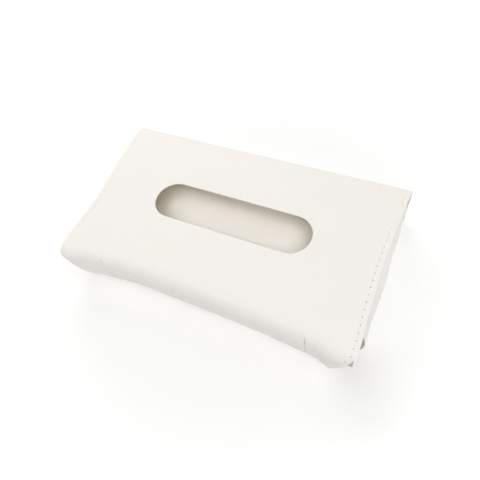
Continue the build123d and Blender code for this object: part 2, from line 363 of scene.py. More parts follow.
def rim_drop(distance, radius=RIM_RADIUS):
    """How far a rounded edge has dropped at a distance from the cut."""
    d = np.clip(distance, 0, radius)
    return radius - np.sqrt(np.maximum(radius**2 - (radius - d) ** 2, 0))


class Patch:
    """Gathers points, normals and quads of a sheet before it gets its thickness."""

    def __init__(self):
        self.points, self.normals, self.quads, self.drop, self.seam = [], [], [], [], []
        self.count = 0

    def add(self, points, normals, drop=0.0, seam=(0.0, 9.0, 0.0)):
        """Adds a grid of points, by default far from any seam, and returns their numbers."""
        shape = np.shape(points)[:-1]
        n = int(np.prod(shape))
        for store, values in ((self.points, points), (self.normals, normals), (self.seam, seam)):
            store.append(np.broadcast_to(values, shape + (3,)).reshape(-1, 3))
        self.drop.append(np.broadcast_to(drop, shape).reshape(-1))
        self.count += n
        return np.arange(self.count - n, self.count).reshape(shape)

    def grid(self, ids, keep=True):
        """Joins numbered points with quads."""
        quads = np.stack([ids[:-1, :-1], ids[:-1, 1:], ids[1:, 1:], ids[1:, :-1]], -1)
        self.quads += list(quads[np.broadcast_to(keep, quads.shape[:2])])

    def arrays(self):
        stores = (self.points, self.normals, self.drop, self.seam)
        return [np.concatenate(store) for store in stores] + [np.array(self.quads)]


def sheet(*grid):
    """Patch of a single grid."""
    patch = Patch()
    patch.grid(patch.add(*grid))
    return patch


def in_scene(name, data):
    """Object with this data, linked to the scene."""
    obj = bpy.data.objects.new(name, data)
    bpy.context.scene.collection.objects.link(obj)
    return obj


def object_from(name, verts, faces, materials, indices=None, sharp=(), seam=None):
    """Mesh object in metres from points in millimetres."""
    mesh = bpy.data.meshes.new(name)
    faces = [tuple(int(i) for i in f) for f in faces]
    mesh.from_pydata([tuple(v) for v in np.asarray(verts) * MM], [], faces)
    for m in materials:
        mesh.materials.append(m)
    if indices is not None:
        mesh.polygons.foreach_set("material_index", np.asarray(indices, np.int32))
    mesh.polygons.foreach_set("use_smooth", np.ones(len(mesh.polygons), bool))
    if seam is not None:
        attribute = mesh.attributes.new("seam", "FLOAT_VECTOR", "POINT")
        attribute.data.foreach_set("vector", np.asarray(seam, np.float32).ravel())
    wanted = {frozenset((int(p), int(q))) for p, q in sharp}
    for e in mesh.edges if wanted else ():
        e.use_edge_sharp = frozenset(e.vertices) in wanted
    mesh.validate()
    mesh.update()
    return in_scene(name, mesh)


def shell(name, patch, near, far, materials):
    """Closed sheet between two depths, with rounded free edges. Materials: face, back, edge."""
    p, n, drop, seam, quads = patch.arrays()
    used, quads = np.unique(quads, return_inverse=True)
    quads = quads.reshape(-1, 4)
    near, far = (np.broadcast_to(d, (len(p),))[used] for d in (near, far))
    p, n, drop, seam = p[used], n[used], drop[used], seam[used]
    room = (far - near) / LEATHER
    outer = p - n * (near + drop * room)[:, None]
    inner = p - n * (far - drop * room)[:, None]
    count = len(p)
    a, b, c, d = (p[quads[:, k]] for k in range(4))
    facing = np.einsum("ij,ij->i", np.cross(c - a, d - b), n[quads[:, 0]])
    if np.median(facing) < 0:
        quads = quads[:, ::-1]
    edges = {(int(q[k]), int(q[(k + 1) % 4])) for q in quads for k in range(4)}
    border = sorted(e for e in edges if (e[1], e[0]) not in edges)
    faces = [tuple(q) for q in quads] + [tuple(q[::-1] + count) for q in quads]
    faces += [(j, i, i + count, j + count) for i, j in border]
    kinds = [0] * len(quads) + [1] * len(quads) + [2] * len(border)
    sharp = [(i, j) for i, j in border if drop[i] < 0.05 and drop[j] < 0.05]
    sharp += [(i + count, j + count) for i, j in sharp]
    verts = np.concatenate([outer, inner])
    return object_from(name, verts, faces, materials, kinds, sharp, np.concatenate([seam, seam]))


def dress(obj, body, slot, *nodes):
    """Puts a piece on its body and in the place of CAD nodes. The slot is not used."""
    if body:
        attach(obj, body)
    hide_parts(*nodes)
    return obj


# Seams
SEAM_STEP = 1.5
RIGHT_SEAM_END = 9.5  # distance past the bend's start where the right seam turns in
RIGHT_SEAM_TURN = ((105.6, 12.0), (101.8, 14.6), (97.0, 18.5), (91.5, 22.8), (85.0, 25.8))
LEFT_SEAM_LIFT = 4.3  # the left seam turns in this far above the hem
LEFT_SEAM_RADIUS = 6.0
LEFT_SEAM_ANGLES = (15, 35, 55, 75, 90)
LEFT_SEAM_X = (103.0, 98.0, 92.0, 86.5, 83.0)
# How strongly the needle holes show, by distance from LEVEL_Y: the depth of their dent and of the
# painted shade in them
HOLE_T = (-101, -80, -55, -30, -5, 12, 26, 50)
HOLES_RIGHT = (0.15, 0.3, 0.7, 0.95, 1.0, 1.0, 0.75, 0.4)
HOLES_LEFT = (0.15, 0.2, 0.3, 0.7, 0.5, 0.35, 0.3, 0.3)
HOLES_STRAIGHT = 0.7


def seam_line(side):
    """Seam down one end of the top and round its front corner: x and t, t from LEVEL_Y."""
    f = Front(side * (HALF - SEAM_INSET))
    r, foot = LEFT_SEAM_RADIUS, f.hem_start - LEFT_SEAM_LIFT
    limit = f.bend_start + RIGHT_SEAM_END if side > 0 else foot - r
    t = LEVEL_Y - np.arange(BACK_FOLD_Y - 1.0, LEVEL_Y, -SEAM_STEP)
    t = np.concatenate([t, np.arange(0, limit, SEAM_STEP)])
    points = list(zip(end_half(side, LEVEL_Y - t, t - f.bend_start) - SEAM_INSET, t))
    if side > 0:
        points += [(x, f.bend_start + past) for x, past in RIGHT_SEAM_TURN]
    else:
        for k in np.radians(LEFT_SEAM_ANGLES):
            points.append((HALF - SEAM_INSET - r + r * math.cos(k), foot - r + r * math.sin(k)))
        points += [(x, foot) for x in LEFT_SEAM_X]
    line = np.array([(side * x, t) for x, t in points])
    steps = np.concatenate([[0], np.cumsum(np.hypot(*np.diff(line, axis=0).T))])
    fine = np.arange(0, steps[-1], 0.5)
    return np.stack([np.interp(fine, steps, line[:, k]) for k in (0, 1)], -1), fine


SEAM_LINES = {side: seam_line(side) for side in (-1, 1)}


def seam_of(x, t):
    """Distance along and across the nearest seam of the top and corners, and how strongly its
    needle holes show as dent and painted shade.
    """
    flat_x, flat_t = np.ravel(x), np.ravel(t)
    along = np.zeros(len(flat_x))
    across = np.full(len(flat_x), 9.0)
    for side, (line, fine) in SEAM_LINES.items():
        for k in np.where(flat_x * side > 76)[0]:
            away = (flat_x[k], flat_t[k]) - line
            d = np.hypot(*away.T)
            i = int(np.argmin(d))
            if d[i] < across[k]:
                across[k], along[k] = d[i], fine[i]
                if 0 < i < len(line) - 1:
                    u = line[i + 1] - line[i - 1]
                    u, w = u / np.hypot(*u), away[i]
                    along[k] = fine[i] + w @ u
                    across[k] = abs(w[0] * u[1] - w[1] * u[0])
    right, left = (np.interp(flat_t, HOLE_T, holes) for holes in (HOLES_RIGHT, HOLES_LEFT))
    holes = np.where(flat_x > 0, right, left)
    return np.stack([along, across, holes], -1).reshape(np.shape(x) + (3,))


def straight_seam_of(x, y, half):
    """The same for the straight seams of the base and the back."""
    across = np.abs(np.abs(x) - (half - SEAM_INSET))
    return np.stack([y - BASE_SEAM_START, across, 0 * y + HOLES_STRAIGHT], -1)


# Materials
class Nodes:
    """Short calls for building a material's or the world's node tree."""

    def __init__(self, owner):
        owner.use_nodes = True
        self.owner, self.tree = owner, owner.node_tree
        self.tree.nodes.clear()

    def feed(self, sockets, values):
        """Sets each socket to a number or colour, or joins it to another node."""
        for socket, value in zip(sockets, values):
            if isinstance(value, (int, float, tuple)):
                socket.default_value = value
            else:
                self.tree.links.new(value, socket)

    def new(self, kind, **values):
        node = self.tree.nodes.new("ShaderNode" + kind)
        for key, value in values.items():
            if key in node.inputs.keys():
                self.feed([node.inputs[key]], [value])
            else:
                setattr(node, key, value)
        return node

    def math(self, operation, a, b=0.5, clamp=False):
        node = self.new("Math", operation=operation, use_clamp=clamp)
        self.feed(node.inputs, (a, b))
        return node.outputs[0]

    def total(self, a, share_a, b, share_b):
        """Sum of two values, each times its share."""
        a, b = self.math("MULTIPLY", a, share_a), self.math("MULTIPLY", b, share_b)
        return self.math("ADD", a, b)

    def mix(self, factor, a, b, blend_type="MIX"):
        node = self.new("Mix", data_type="RGBA", blend_type=blend_type)
        self.feed([node.inputs[k] for k in (0, 6, 7)], (factor, a, b))
        return node.outputs[2]

    def ramp(self, value, low, low_colour, high, high_colour):
        node = self.new("ValToRGB", Fac=value)
        stops = ((low, low_colour), (high, high_colour))
        for element, (place, colour) in zip(node.color_ramp.elements, stops):
            element.position = place
            element.color = colour
        return node.outputs[0]

    def place(self):
        return self.new("TexCoord").outputs["Object"]

    def noise(self, scale, detail, roughness=0.5, distortion=0.0):
        grain = {"Scale": scale, "Detail": detail, "Roughness": roughness, "Distortion": distortion}
        return self.new("TexNoise", Vector=self.place(), **grain).outputs["Fac"]

    def bump(self, height, strength, distance, **more):
        node = self.new("Bump", Height=height, Strength=strength, Distance=distance, **more)
        return node.outputs[0]

    def surface(self, colour, normal, **values):
        values.update({"Base Color": colour, "Normal": normal})
        return self.output(self.new("BsdfPrincipled", **values))

    def output(self, shader, kind="Material"):
        self.new("Output" + kind, Surface=shader.outputs[0])
        return self.owner

    def mix_shaders(self, factor, a, b):
        node = self.new("MixShader")
        self.feed(node.inputs, (factor, a.outputs[0], b.outputs[0]))
        return node

    def seen(self):
        """1 where the camera sees this, directly, in a reflection or through glass."""
        path = self.new("LightPath").outputs
        reflected = self.math("MAXIMUM", path["Is Glossy Ray"], path["Is Transmission Ray"])
        return self.math("MAXIMUM", path["Is Camera Ray"], reflected)


def srgb(*colour):
    return tuple(((c / 255 + 0.055) / 1.055) ** 2.4 for c in colour) + (1.0,)


def grey(value):
    return (value, value, value, 1.0)


def soft(*values):
    return dict(zip(("Specular IOR Level", "Sheen Weight", "Sheen Roughness"), values))


def leather_material(name, colour, warm, seam=True):
    """Fine grained matt leather with painted shade in the grain's creases, and needle holes along
    the seams, dented and darkened with painted shade.
    """
    n = Nodes(bpy.data.materials.new(name))
    mottle = n.noise(180.0, 4.0, 0.6)
    share = n.total(n.noise(14.0, 3.0, 0.55), 0.7, mottle, 0.3)
    body = n.ramp(share, 0.36, srgb(*warm), 0.62, srgb(*colour))
    cells = {"feature": "DISTANCE_TO_EDGE", "Scale": 1500.0, "Randomness": 0.95}
    cells = n.new("TexVoronoi", Vector=n.place(), **cells).outputs["Distance"]
    crease = n.math("SMOOTH_MIN", cells, 0.12)
    grain = n.total(crease, 4.0, n.noise(2600.0, 3.0, 0.6), 0.35)
    grain = n.math("ADD", grain, n.math("MULTIPLY", n.noise(420.0, 2.0), 0.5))
    # Painted shade: the grain's creases are darkened in colour as well as bumped
    shade = n.ramp(crease, 0.0, srgb(215, 209, 196), 0.045, grey(1.0))
    body = n.mix(0.12, body, shade, "MULTIPLY")
    normal = n.bump(grain, 0.22, 0.00005)
    if seam:
        at = n.new("Attribute", attribute_name="seam", attribute_type="GEOMETRY")
        parts = n.new("SeparateXYZ", Vector=at.outputs["Vector"])
        along, across, opening = parts.outputs
        step = n.math("PINGPONG", along, PITCH / 2)
        square = n.math("MULTIPLY", across, across)
        reach = n.math("SQRT", n.math("ADD", n.math("MULTIPLY", step, step), square))
        past = n.math("MULTIPLY", n.math("SUBTRACT", reach, 0.22), 2.6, clamp=True)
        hole = n.math("SUBTRACT", 1.0, past, clamp=True)
        hole_dent_and_shade = n.math("MULTIPLY", hole, opening)
        # Painted shade: each needle hole gets a dark colour for the shade inside it, and the bump
        # below dents it
        body = n.mix(hole_dent_and_shade, body, srgb(176, 166, 146))
        normal = n.bump(hole_dent_and_shade, 0.4, 0.0002, Normal=normal, invert=True)
    gloss = n.ramp(mottle, 0.3, grey(0.50), 0.7, grey(0.60))
    return n.surface(body, normal, Roughness=gloss, **soft(0.35, 0.05, 0.5))


def cloth_material(name, colour, dark):
    """Short-napped microfibre lining."""
    n = Nodes(bpy.data.materials.new(name))
    nap = n.noise(3200.0, 5.0, 0.7)
    brushed = n.noise(70.0, 4.0, 0.6, 0.6)
    share = n.total(brushed, 0.65, nap, 0.35)
    tone = n.ramp(share, 0.35, srgb(*dark), 0.65, srgb(*colour))
    height = n.math("ADD", nap, n.math("MULTIPLY", brushed, 0.5))
    bump = n.bump(height, 0.5, 0.00012)
    return n.surface(tone, bump, Roughness=0.92, **soft(0.15, 0.35, 0.45))


def speckled_material(name, colour, dark, scale, roughness, metallic=0.0):
    """Board, painted edge, thread or plated metal with fine speckle."""
    n = Nodes(bpy.data.materials.new(name))
    speck = n.noise(scale, 5.0, 0.65)
    tone = n.ramp(speck, 0.35, srgb(*dark), 0.65, srgb(*colour))
    bump = n.bump(speck, 0.35, 0.00005)
    return n.surface(tone, bump, Roughness=roughness, Metallic=metallic)


leather = leather_material("leather", (247, 244, 240), (246, 243, 238))
plain_leather = leather_material("leather_plain", (246, 245, 240), (243, 241, 234), seam=False)
lining = cloth_material("lining", (253, 252, 251), (251, 249, 246))
wall_cloth = cloth_material("lining_wall", (253, 249, 240), (250, 245, 233))
gusset_back = cloth_material("gusset_back", (249, 247, 241), (245, 242, 233))
backing = cloth_material("leather_back", (206, 204, 200), (192, 190, 186))
edge_paint = speckled_material("edge_paint", (236, 232, 222), (226, 221, 208), 900.0, 0.45)
thread = speckled_material("thread", (247, 245, 240), (240, 236, 227), 4200.0, 0.5)
board = speckled_material("board", (168, 158, 140), (146, 136, 118), 1300.0, 0.9)
magnet = speckled_material("magnet", (205, 203, 198), (180, 178, 174), 600.0, 0.28, 1.0)


# Slot patch: rings from the edge of a rectangle on the grid to the slot
RING_STEPS = (0.22, 0.44, 0.64, 0.82)


def slot_loop(xs, ys):
    """Rectangle's border, with the matching slot points and outward directions."""
    right, rows = len(xs) - 1, len(ys) - 1
    wide = [i for i, x in enumerate(xs) if abs(x) <= SLOT_STRAIGHT + 1e-6]
    first, last = wide[0], wide[-1]
    cap = first + rows + right - last
    border = [(i, 0) for i in range(right)] + [(right, j) for j in range(rows)]
    border += [(i, rows) for i in range(right, 0, -1)] + [(0, j) for j in range(rows, 0, -1)]
    place, out = [], []
    for index, (i, j) in enumerate(border):
        if first <= i <= last:
            d, x = (0.0, -1.0 if j else 1.0), xs[i]
        else:
            side = 1 if i > last else -1
            k = index - last if side > 0 else (first - index) % len(border)
            angle = math.pi / 2 - side * math.pi * k / cap
            d, x = (math.cos(angle), math.sin(angle)), side * SLOT_STRAIGHT
        place.append((x + d[0] * SLOT_RADIUS, SLOT_Y + d[1] * SLOT_RADIUS))
        out.append(d)
    return border, np.array(place), np.array(out)


def slot_rings(patch, ids, cols, ys, offsets, dip=0.0):
    """Rings round the slot, in a hole of the top's grid. Returns which quads the hole takes."""
    i0, i1 = (int(np.argmin(np.abs(cols - x))) for x in (-PATCH_X, PATCH_X))
    j0, j1 = (int(np.argmin(np.abs(ys - y))) for y in (PATCH_BACK, PATCH_FRONT))
    border, place, out = slot_loop(cols[i0 : i1 + 1], ys[j0 : j1 + 1])
    ring = np.array([ids[j0 + j, i0 + i] for i, j in border])
    corner = np.array([(cols[i0 + i], ys[j0 + j]) for i, j in border])
    near = place + out * offsets[0]
    rings = [(corner + (near - corner) * f, 99.0) for f in RING_STEPS]
    rings += [(place + out * d, d) for d in offsets]
    for points, gap in rings:
        p, n = run_point(points[:, 0], top_v(points[:, 1]))
        p[:, 2] -= dip * math.exp(-gap / 1.6)
        new = patch.add(p, n, rim_drop(gap))
        for k in range(len(ring)):
            m = (k + 1) % len(ring)
            patch.quads.append((ring[k], ring[m], new[m], new[k]))
        ring = new
    inside = np.zeros((len(ys) - 1, len(cols) - 1), bool)
    inside[j0:j1, i0:i1] = True
    return inside


# Outer sheet
SEAM_PULL = 0.12  # how far a seam draws the leather in
BASE_GROOVE = 0.5  # the base's stitches lie in a groove, off the floor


def pulled_in(seam):
    return SEAM_PULL * np.exp(-((seam[..., 1] / 0.8) ** 2))


def outer_sheet():
    """The leather but for the flap, from the front wall's top round to the front corners."""
    patch = Patch()
    cols = outer_columns()
    rows = [d / WALL_RUN for d in RIM] + span(0.1, 1.0, 0.15)
    for panel, step in enumerate(PANEL_STEPS, 1):
        rows += span(panel, panel + 1, step)[1:]
    rows = np.array(rows + list(top_v(top_rows((3.0, 3.0, 2.7))[1:])))
    a, v = np.meshgrid(cols, rows)
    p, n = run_point(a, v)
    x, y, z = np.moveaxis(p, -1, 0)
    drop = np.maximum(rim_drop(HALF - np.abs(a)), rim_drop(v * WALL_RUN))
    seam = seam_of(x, LEVEL_Y - y)
    seam[v < 6] = (0, 9, 0)
    on_base = (v > 2.05) & (v <= 3.0) & (y > BASE_SEAM_START - 1)
    seam[on_base] = straight_seam_of(x, y, BASE_HALF)[on_base]
    on_back = (v > 4.0) & (v < 5.0)
    seam[on_back] = straight_seam_of(x, z, back_end(a, z))[on_back]
    groove = BASE_GROOVE * (1 - ease((seam[..., 1] - 0.35) / 0.5))
    p = p - n * np.where(on_base, groove, pulled_in(seam))[..., None]
    ids = patch.add(p, n, drop, seam)
    first_top = int(np.argmin(np.abs(rows - 6.0)))
    top_y = p[first_top:, len(cols) // 2, 1]
    rim = (3.0, 1.8, 1.0, 0.6) + RIM[::-1]
    keep = np.ones((len(rows) - 1, len(cols) - 1), bool)
    keep[first_top:] = ~slot_rings(patch, ids[first_top:], cols, top_y, rim, dip=0.12)
    patch.grid(ids, keep)

    f = Front(cols)
    upper = [f.flat * k for k in QUARTERS] + [f.flat + f.soft * k for k in QUARTERS]
    upper += [
        f.at_turn(f.soft_turn + (HINGE_TURN - f.soft_turn) * k) for k in (0.2, 0.4, 0.6, 0.8)
    ]
    upper += [f.hinge - HINGE_STEP, f.hinge]
    t = np.array(upper + f.lower_rows())
    p, n = front_point(cols, t)
    seam = seam_of(p[..., 0], t)
    p = p - n * pulled_in(seam)[..., None]
    slit_gap = np.where(cols > 0, cols - SLITS[1], SLITS[0] - cols)
    free = (t > f.hinge + HINGE_STEP / 2) & (slit_gap > -0.01)
    drop = np.maximum(rim_drop(HALF - np.abs(cols)), rim_drop(f.end - t))
    drop = np.maximum(drop, np.where(free, rim_drop(slit_gap), 0))
    new = patch.add(p, n, drop, seam)
    keep = np.ones((len(new), len(cols) - 1), bool)
    middle = (cols[:-1] >= SLITS[0] - 1e-6) & (cols[1:] <= SLITS[1] + 1e-6)
    keep[len(upper) :, middle] = False
    patch.grid(np.concatenate([ids[-1:], new]), keep)
    obj = shell("outer_sheet", patch, 0.0, LEATHER, [leather, backing, edge_paint])
    panels = ("top", "back", "bottom", "front_wall", "left_corner", "right_corner")
    dress(obj, "case", "leather", *(panel + "_leather" for panel in panels))


# Closing flap
FLAP_LEFT = SLITS[0] + SLIT_GAP
FLAP_RIGHT = SLITS[1] - SLIT_GAP
FLAP_CORNER = 5.0


def flap_columns(ends, clear):
    """Columns at distances from the flap's ends, and the outer sheet's clear of those."""
    inner = [c for c in outer_columns() if FLAP_LEFT + clear < c < FLAP_RIGHT - clear]
    edges = [FLAP_LEFT + d for d in ends] + [FLAP_RIGHT - d for d in ends]
    return np.array(unique(inner + edges))


def flap_skin():
    """The flap's leather, with two rounded corners."""
    cols = flap_columns(RIM + (0.8,), 1.2)
    f = Front(cols)
    t = rows = np.array([f.hinge] + f.lower_rows())
    x = a = np.tile(cols, (len(t), 1))
    low, r = f.end - FLAP_CORNER, FLAP_CORNER
    for edge, sign in ((FLAP_LEFT, -1), (FLAP_RIGHT, 1)):
        start = sign * edge - r
        u = np.clip((sign * a - start) / r, 0, 1)
        w = np.clip((t - low) / r, 0, 1)
        corner = (u > 0) & (w > 0)
        x = np.where(corner, sign * (start + r * u * np.sqrt(1 - w * w / 2)), x)
        t = np.where(corner, low + r * w * np.sqrt(1 - u * u / 2), t)
    p, n = front_point(a, t, x=x)
    side = np.minimum(a - FLAP_LEFT, FLAP_RIGHT - a)
    drop = np.maximum(rim_drop(side), rim_drop(f.end - rows))
    drop[0] = 0
    obj = shell("flap_skin", sheet(p, n, drop), 0.0, LEATHER, [leather, backing, edge_paint])
    return dress(obj, None, "leather", "flap_leather")


def flap_lining():
    """Lining inside the flap, which closes in on the leather past the board."""
    cols = flap_columns((1.0, 1.3), 2.0)
    f = Front(cols)
    t = [f.hinge + 0.05, f.hinge + 0.4]
    t += f.below_hinge((0.09, 0.2, 0.35, 0.5, 0.65, 0.8, 0.92, 0.97, 1.0), (0.3, 0.65, 1.0), 1.0)
    t = np.array(t)
    over = ease((t - f.face_start + 1.5) / 2.5) * ease((f.hem_start - t + 0.6) / 2.4)
    near = (LEATHER + PLAY + FLAP_BOARD * over).ravel()
    patch = sheet(*front_point(cols, t, x=cols))
    obj = shell("flap_lining_skin", patch, near, near + LINING, [wall_cloth] * 3)
    return dress(obj, None, "lining", "flap_lining")


def face_board(name, node, body, points, normals):
    """Board behind the flap's or the front wall's face, bowed with it."""
    far = LEATHER + FLAP_BOARD - PLAY
    obj = shell(name, sheet(points, normals), LEATHER + PLAY, far, [board] * 3)
    dress(obj, body, "board", node)


def ring_faces(rings, count, first=0):
    """Quads between rings of points, and a cap at each end."""
    faces = []
    for low in range(first, first + (rings - 1) * count, count):
        for k in range(count):
            m = (k + 1) % count
            faces.append((low + k, low + count + k, low + count + m, low + m))
    last = first + (rings - 1) * count
    return faces + [tuple(range(first, first + count)), tuple(range(last, last + count))[::-1]]


MAGNET_X = 55.4
MAGNET_RADIUS = 4.0
MAGNET_THICK = 1.0
MAGNET_DEPTH = 1.5  # its middle, under the leather's face


def disc(name, body, node, face, normal):
    """Small round magnet with a rounded rim, under a point of the leather."""
    r = MAGNET_RADIUS
    rim = ((0.001, 0.5), (r - 0.15, 0.5), (r - 0.04, 0.46), (r, 0.35))
    rings = rim + tuple((radius, -h) for radius, h in rim[::-1])
    angles = 2 * math.pi * np.arange(40)[:, None] / 40
    u = np.array([1.0, 0.0, 0.0])
    circle = u * np.cos(angles) + np.cross(normal, u) * np.sin(angles)
    centre = face - normal * MAGNET_DEPTH
    verts = [centre + circle * radius + normal * h * MAGNET_THICK for radius, h in rings]
    obj = object_from(name, np.concatenate(verts), ring_faces(len(rings), 40), [magnet])
    dress(obj, body, "magnet", node)


# Linings and boards of the top, corners, base, back and front wall
LINING_HALF = 106.3
PANEL_COLUMNS = unique([-LINING_HALF, -106.0] + span(-104, 104, 4.0) + [106.0, LINING_HALF])


def top_layer(name, node, slot, cloth, near, thick, margin=0.0):
    """Layer under the top leather. A lining closes in on the leather at the slot and the
    front. A board keeps its margin from the slot and stops at the bend."""
    patch = Patch()
    out = [76, 80, 85, 90, 96, 101, 106, LINING_HALF]
    cols = np.array(unique([-x for x in out] + span(-PATCH_X, PATCH_X, 4.0) + out))
    ys = top_rows((4.0, 4.0, 4.0))
    ids = patch.add(*straight_run(cols, top_v(ys)))
    offsets = (margin,) if margin else (5.0, 4.6, 3.2, 2.0, 1.0, 0.35)
    patch.grid(ids, ~slot_rings(patch, ids, cols, ys, offsets))
    f = Front(cols)
    if margin:
        limit = np.minimum(f.bend_start, LEVEL_Y - SPLIT_Y)
        t = [limit * k for k in QUARTERS]
    else:
        t = [f.flat * 0.5, f.flat, f.flat + f.soft * 0.5, f.bend_start]
        t += [f.bend_start + (f.hinge - 0.05 - f.bend_start) * k for k in QUARTERS]
    new = patch.add(*front_point(cols, np.array(t), x=cols))
    patch.grid(np.concatenate([ids[-1:], new]))
    depth = np.full(patch.count, near)
    if not margin:
        x, y = np.concatenate([p[:, :2] for p in patch.points]).T
        gap = np.hypot(np.maximum(np.abs(x) - SLOT_STRAIGHT, 0), y - SLOT_Y) - SLOT_RADIUS
        closing = 1 - ease((gap - 1.2) / 3.4) + ease((-y - 49.5) / 2.5)
        depth = depth - (near - LEATHER - PLAY) * closing
    obj = shell(name, patch, depth, depth + thick, [cloth] * 3)
    dress(obj, "case", slot, node)


def corner_lining(side, word):
    """Lining of a front corner, from the hinge line to the hem."""
    inner = abs(SLITS[int(side > 0)]) + 1.0
    cols = [inner, inner + 0.3] + span(inner + 2, HALF - 2.2, 3.0) + [HALF - 1.5, HALF - 1.2]
    cols = np.sort(side * np.array(unique(cols)))
    f = Front(cols)
    t = [f.hinge + (f.face_start - f.hinge) * k for k in (0.02,) + QUARTERS]
    t += [f.face_start + f.face * k for k in (0.15, 0.3, 0.45, 0.6, 0.75, 0.9, 1.0)]
    t += [f.hem_start + (f.hem - 0.8) * k for k in (0.35, 0.7, 1.0)]
    patch = sheet(*front_point(cols, np.array(t)))
    name, near = word + "_corner_lining", LEATHER + PLAY
    obj = shell(name + "_skin", patch, near, near + LINING, [lining] * 3)
    dress(obj, "case", "lining", name)


def panel_lining(name, node, cloth, low, high, step):
    """Uneven lining on the base or the back; the base's has a crease."""
    base = node == "bottom_lining"
    inset = step - 1
    rows = [low, low + 0.3] + span(low + inset, high - inset, step) + [high - 0.3, high]
    x, u = np.meshgrid(PANEL_COLUMNS, unique(rows))
    rise = 0.14 * np.sin(x / 19 + 0.4) * np.cos(u / 15) + 0.08 * np.sin(x / 8.7 - u / 11 + 1.0)
    if base:
        crease = u - (14 + 0.07 * x)
        rise = rise + 0.5 * np.exp(-((crease / 2.2) ** 2)) * ease((x + 70) / 60)
    edge = np.minimum(np.minimum(LINING_HALF - np.abs(x), u - low), high - u)
    off = LEATHER + BOARD + (rise + 0.24) * ease(edge / 6)
    points = (x, u, off) if base else (x, CASE_BACK - off, u)
    patch = sheet(np.stack(points, -1), (0.0, 0.0, -1.0) if base else (0.0, 1.0, 0.0))
    dress(shell(name, patch, 0.0, LINING, [cloth] * 3), "case", "lining", node)


def wall_lining():
    """Lining of the front wall, which closes in on the leather at the top."""
    v = np.array([0.03, 0.06, 0.2, 0.4, 0.6, 0.8, 1.0])
    patch = sheet(*straight_run(PANEL_COLUMNS, v))
    near = LEATHER + PLAY + FLAP_BOARD * ease((v - 0.04) / 0.12)
    near = np.repeat(near, len(PANEL_COLUMNS))
    obj = shell("wall_lining_skin", patch, near, near + LINING, [wall_cloth] * 3)
    dress(obj, "case", "lining", "front_wall_lining")


# Gussets
GUSSET_FRONT = -45.6
GUSSET_REACH = 0.3  # how far the foot of a gusset stands in front of its head
GUSSET_ROOT = 112.65
GUSSET_BULGE = 4.5
FLANGE_TIP = 106.65
HEAD_PAST_SEAM = 1.25  # the head of a gusset stands outside the top's seam
FADE_Y = (-46, 0, 40, 63.4, 65)
FADE = (1.0, 1.0, 0.75, 0.4, 0.38)  # the bulge gets weaker towards the back


def gusset(side, word):
    """Bulged end wall with a flange stitched under the top and one on the base."""
    ys = [GUSSET_FRONT + d for d in RIM + (1.0, 2.0)]
    ys += span(GUSSET_FRONT + 4, BACK_FOLD_Y - 3, 4.0)
    ys += [BACK_FOLD_Y - 1.2, BACK_FOLD_Y + 0.4, 64.9]
    # k runs along the profile: 0 to 1 upper flange, 1 to 2 wall, 2 to 3 lower flange
    ks = [0, 0.02, 0.3, 0.6, 0.85, *(1 + np.linspace(0, 1, 21)), 2.15, 2.4, 2.7, 2.98, 3.0]
    y0, k = np.meshgrid(ys, ks)
    s = np.clip(k - 1, 0, 1)
    up = 1 - s
    z = LEATHER + (HEIGHT - 2 * LEATHER) * up
    y = y0 - GUSSET_REACH * ease(1 - 2 * up) * (1 - ease((y0 - GUSSET_FRONT) / 60))
    sewn = end_half(side, np.minimum(y0, BACK_FOLD_Y), 0.0) - SEAM_INSET
    head = np.maximum(sewn + HEAD_PAST_SEAM - GUSSET_ROOT, 0) * ease(up / 0.9)
    arch = np.sin(math.pi * s)
    bulge = GUSSET_BULGE * np.interp(y, FADE_Y, FADE) * arch**0.8
    fold = 0.35 * np.sin(y / 7.5 + 3 * s + side) * arch * ease((y + 44) / 10)
    fold = fold + 0.5 * np.sin(y / 19 + 1.3 * side) * np.sin(2 * math.pi * s)
    flange = np.maximum(np.maximum(1 - k, k - 2), 0)
    x = GUSSET_ROOT + head + bulge + fold - flange * (GUSSET_ROOT - FLANGE_TIP)
    angle = np.pi * np.clip((k - 0.85) / 1.3, 0, 1)
    n = np.stack([side * np.sin(angle), 0 * k, np.cos(angle)], -1)
    patch = sheet(np.stack([side * x, y, z], -1), n, rim_drop(y0 - GUSSET_FRONT))
    name = word + "_gusset"
    materials = [plain_leather, gusset_back, edge_paint]
    dress(shell(name + "_skin", patch, 0.0, LEATHER, materials), "case", "leather", name)


# Stitches
THREAD_WIDE = 0.31  # half width and half height of the thread
THREAD_HIGH = 0.2
THREAD_SIDES = 10


def stitches(name, runs, node):
    """A run holds the points and normals under one stitch, which is a rounded thread."""
    verts, faces = [], []
    for run in runs:
        points, normals = (np.array(values) for values in zip(*run))
        m = len(points)
        faces += ring_faces(m, THREAD_SIDES, len(verts))
        for i in range(m):
            along = points[min(i + 1, m - 1)] - points[max(i - 1, 0)]
            along = along / np.linalg.norm(along)
            up = normals[i] - along * (normals[i] @ along)
            up = up / np.linalg.norm(up)
            across = np.cross(up, along)
            u = abs(2 * i / (m - 1) - 1)
            size = max(0.12, math.sqrt(1 - u**5))
            middle = points[i] + up * (0.16 - 0.42 * u**4)
            for k in range(THREAD_SIDES):
                angle = 2 * math.pi * k / THREAD_SIDES
                wide, high = THREAD_WIDE * math.cos(angle), THREAD_HIGH * math.sin(angle)
                verts.append(middle + (across * wide + up * high) * size)
    dress(object_from(name, verts, faces, [thread]), "case", "thread", node)


def stitch_runs(place, samples, start, low, high):
    """Runs of a seam between two distances. place gives the point and normal at one."""
    runs = []
    k = math.ceil((low - start) / PITCH)
    while start + (k + 1) * PITCH < high:
        middle = start + (k + 0.5) * PITCH
        runs.append([place(middle + u) for u in np.linspace(-STITCH / 2, STITCH / 2, samples)])
        k += 1
    return runs


